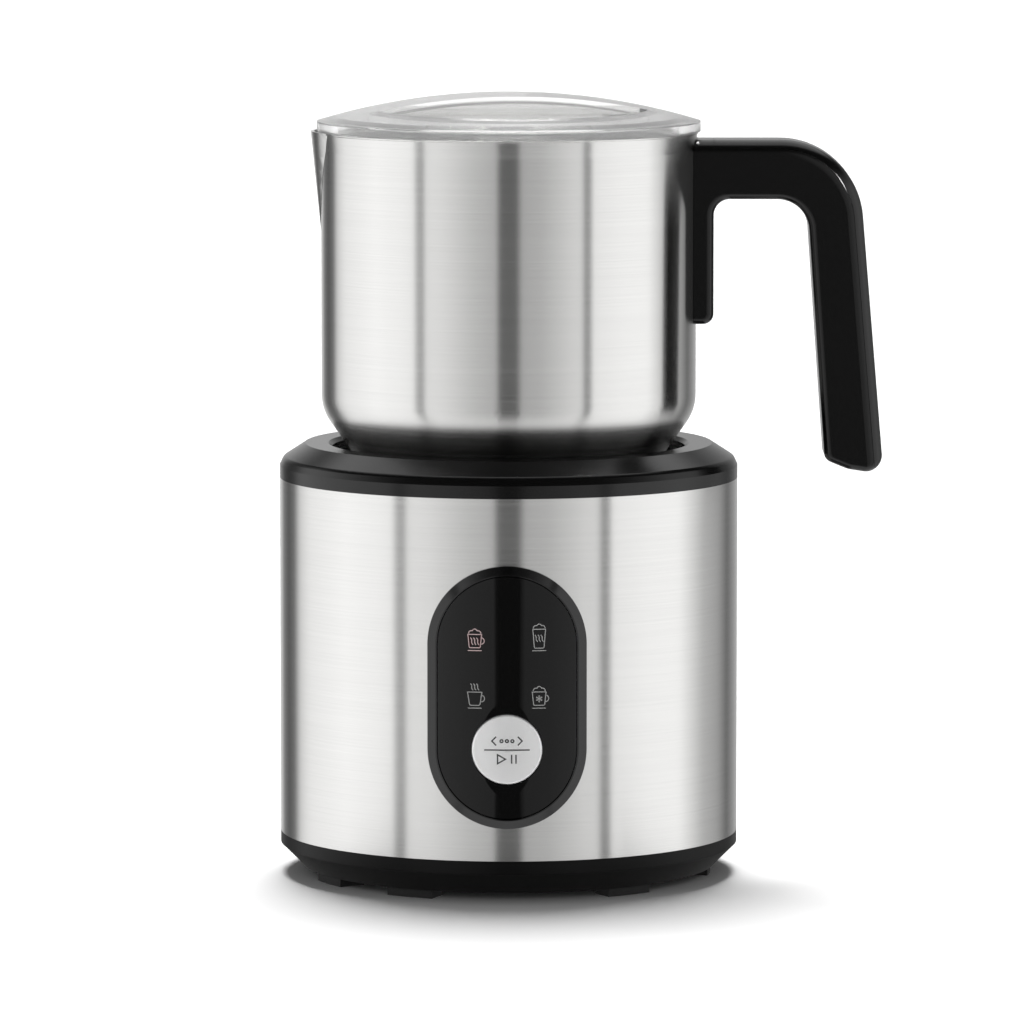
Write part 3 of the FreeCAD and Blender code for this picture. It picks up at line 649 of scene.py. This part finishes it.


# The soft boxes round the object and the gaps between them, set so that the steel has the
# photograph's light and dark strips: the azimuth in degrees, from the camera's side towards +X, and
# the brightness there.
STUDIO = (
    (-180, 0.72), (-165, 0.6), (-156, 0.2), (-146, 0.1), (-137, 0.2), (-130, 0.78), (-120, 1.0),
    (-90, 1.17), (-70, 1.11), (-60, 1.04), (-58, 0.4), (-53.5, 0.4), (-52, 0.96), (-40, 0.87), (-20, 0.61),
    (-6.5, 0.5), (-5.5, 0.1), (6.5, 0.1), (7.5, 0.46), (20, 0.52), (40, 0.78), (46.5, 0.86), (48, 0.27),
    (52, 0.27), (53.5, 1.0), (75, 1.11), (96, 1.13), (108, 0.79), (116, 0.55), (132, 0.4), (144, 0.15),
    (180, 0.6),
)
BRIGHTEST = max(brightness for _, brightness in STUDIO)
OVERHEAD = (0, 0.45, 0.893)  # the way to the soft box above
FLOOR_GREY = (0.9, 0.9, 0.9, 1)

# How bright the plain white surround is: to matt surfaces, and what is added through the lid or in view.
AMBIENT = 0.2
THROUGH_LID = 0.6
IN_VIEW = 1.0


def studio():
    """A white surround that lights everything, and soft boxes with gaps between them for gloss to show."""
    world = bpy.data.worlds.new("studio")
    world.use_nodes = True
    bpy.context.scene.world = world
    tree = world.node_tree
    tree.nodes.clear()

    def node(kind, sockets=(), **settings):
        made = tree.nodes.new(kind)
        for name, value in settings.items():
            setattr(made, name, value)
        for name, value in dict(sockets).items():
            if isinstance(value, bpy.types.NodeSocket):
                tree.links.new(value, made.inputs[name])
            else:
                made.inputs[name].default_value = value
        return made

    def ramp(grey, stops):
        made = node("ShaderNodeValToRGB", {"Fac": grey})
        points = made.color_ramp.elements
        while len(points) < len(stops):
            points.new(0.5)
        for point, (place, brightness) in zip(points, stops):
            point.position = place
            point.color = (brightness, brightness, brightness, 1)
        return made.outputs["Color"]

    def mixed(factor, first, second):
        return node("ShaderNodeMix", {0: factor, 6: first, 7: second}, data_type="RGBA").outputs[2]

    def computed(operation, *values):
        return node("ShaderNodeMath", dict(enumerate(values)), operation=operation).outputs[0]

    def banded(rise, stops):
        """Brightness by how steeply a direction climbs, from -1 straight down to 1 straight up."""
        return ramp(rise, [((climb + 1) / 2, brightness) for climb, brightness in stops])

    direction = node("ShaderNodeTexCoord").outputs["Generated"]
    way = node("ShaderNodeSeparateXYZ", {"Vector": direction}).outputs
    ahead = computed("MULTIPLY", way["Y"], -1.0)
    azimuth = computed("ARCTAN2", way["X"], ahead)
    turn = computed("MULTIPLY_ADD", azimuth, 1 / math.tau, 0.5)
    boxes = ramp(turn, [(degrees / 360 + 0.5, value / BRIGHTEST) for degrees, value in STUDIO])
    rise = computed("MULTIPLY_ADD", way["Z"], 0.5, 0.5)
    below = banded(rise, ((-0.75, 1.0), (-0.4, 0.0)))
    above = banded(rise, ((0.4, 0.0), (0.6, 1.0)))
    overhead = node("ShaderNodeVectorMath", {0: direction, 1: OVERHEAD}, operation="DOT_PRODUCT")
    top_box = ramp(overhead.outputs["Value"], ((0.78, 0.03), (0.87, 1.0)))
    shown = mixed(above, mixed(below, boxes, FLOOR_GREY), top_box)
    gloss = node("ShaderNodeBackground", {"Color": shown, "Strength": BRIGHTEST})
    path = node("ShaderNodeLightPath").outputs
    through = computed("MULTIPLY_ADD", path["Is Transmission Ray"], THROUGH_LID, AMBIENT)
    seen = computed("MULTIPLY_ADD", path["Is Camera Ray"], IN_VIEW, through)
    white = node("ShaderNodeBackground", {"Color": (1, 1, 1, 1), "Strength": seen})
    shaders = {0: path["Is Glossy Ray"], 1: white.outputs[0], 2: gloss.outputs[0]}
    both = node("ShaderNodeMixShader", shaders)
    node("ShaderNodeOutputWorld", {"Surface": both.outputs[0]})


def camera():
    """Two metres in front and a hand above the lid, looking slightly down."""
    distance, height, off_axis = 2.0763, 0.32216, 0.94 * MM
    turned, dip = 0.4, 6.033  # degrees
    lens = bpy.data.cameras.new("camera")
    lens.lens = 258.1
    lens.sensor_width = 36
    lens.clip_start = 0.1
    lens.clip_end = 40
    obj = bpy.data.objects.new("camera", lens)
    side = math.radians(turned)
    aim = AXIS_X + off_axis
    obj.location = (aim + distance * math.sin(side), -distance * math.cos(side), height)
    obj.rotation_euler = (math.radians(90 - dip), 0, side)
    bpy.context.scene.collection.objects.link(obj)
    bpy.context.scene.camera = obj


floor("floor", reach=6, mirrored=False)
floor("floor_in_gloss", reach=0.08, mirrored=True)
top_light()
soft_light("front_fill", place=(AXIS_X, -2.2, 0.5), target=(AXIS_X, 0, 0.1), size=(1.5, 1.0), watts=9)
studio()
camera()
bpy.context.scene.view_settings.view_transform = "Standard"
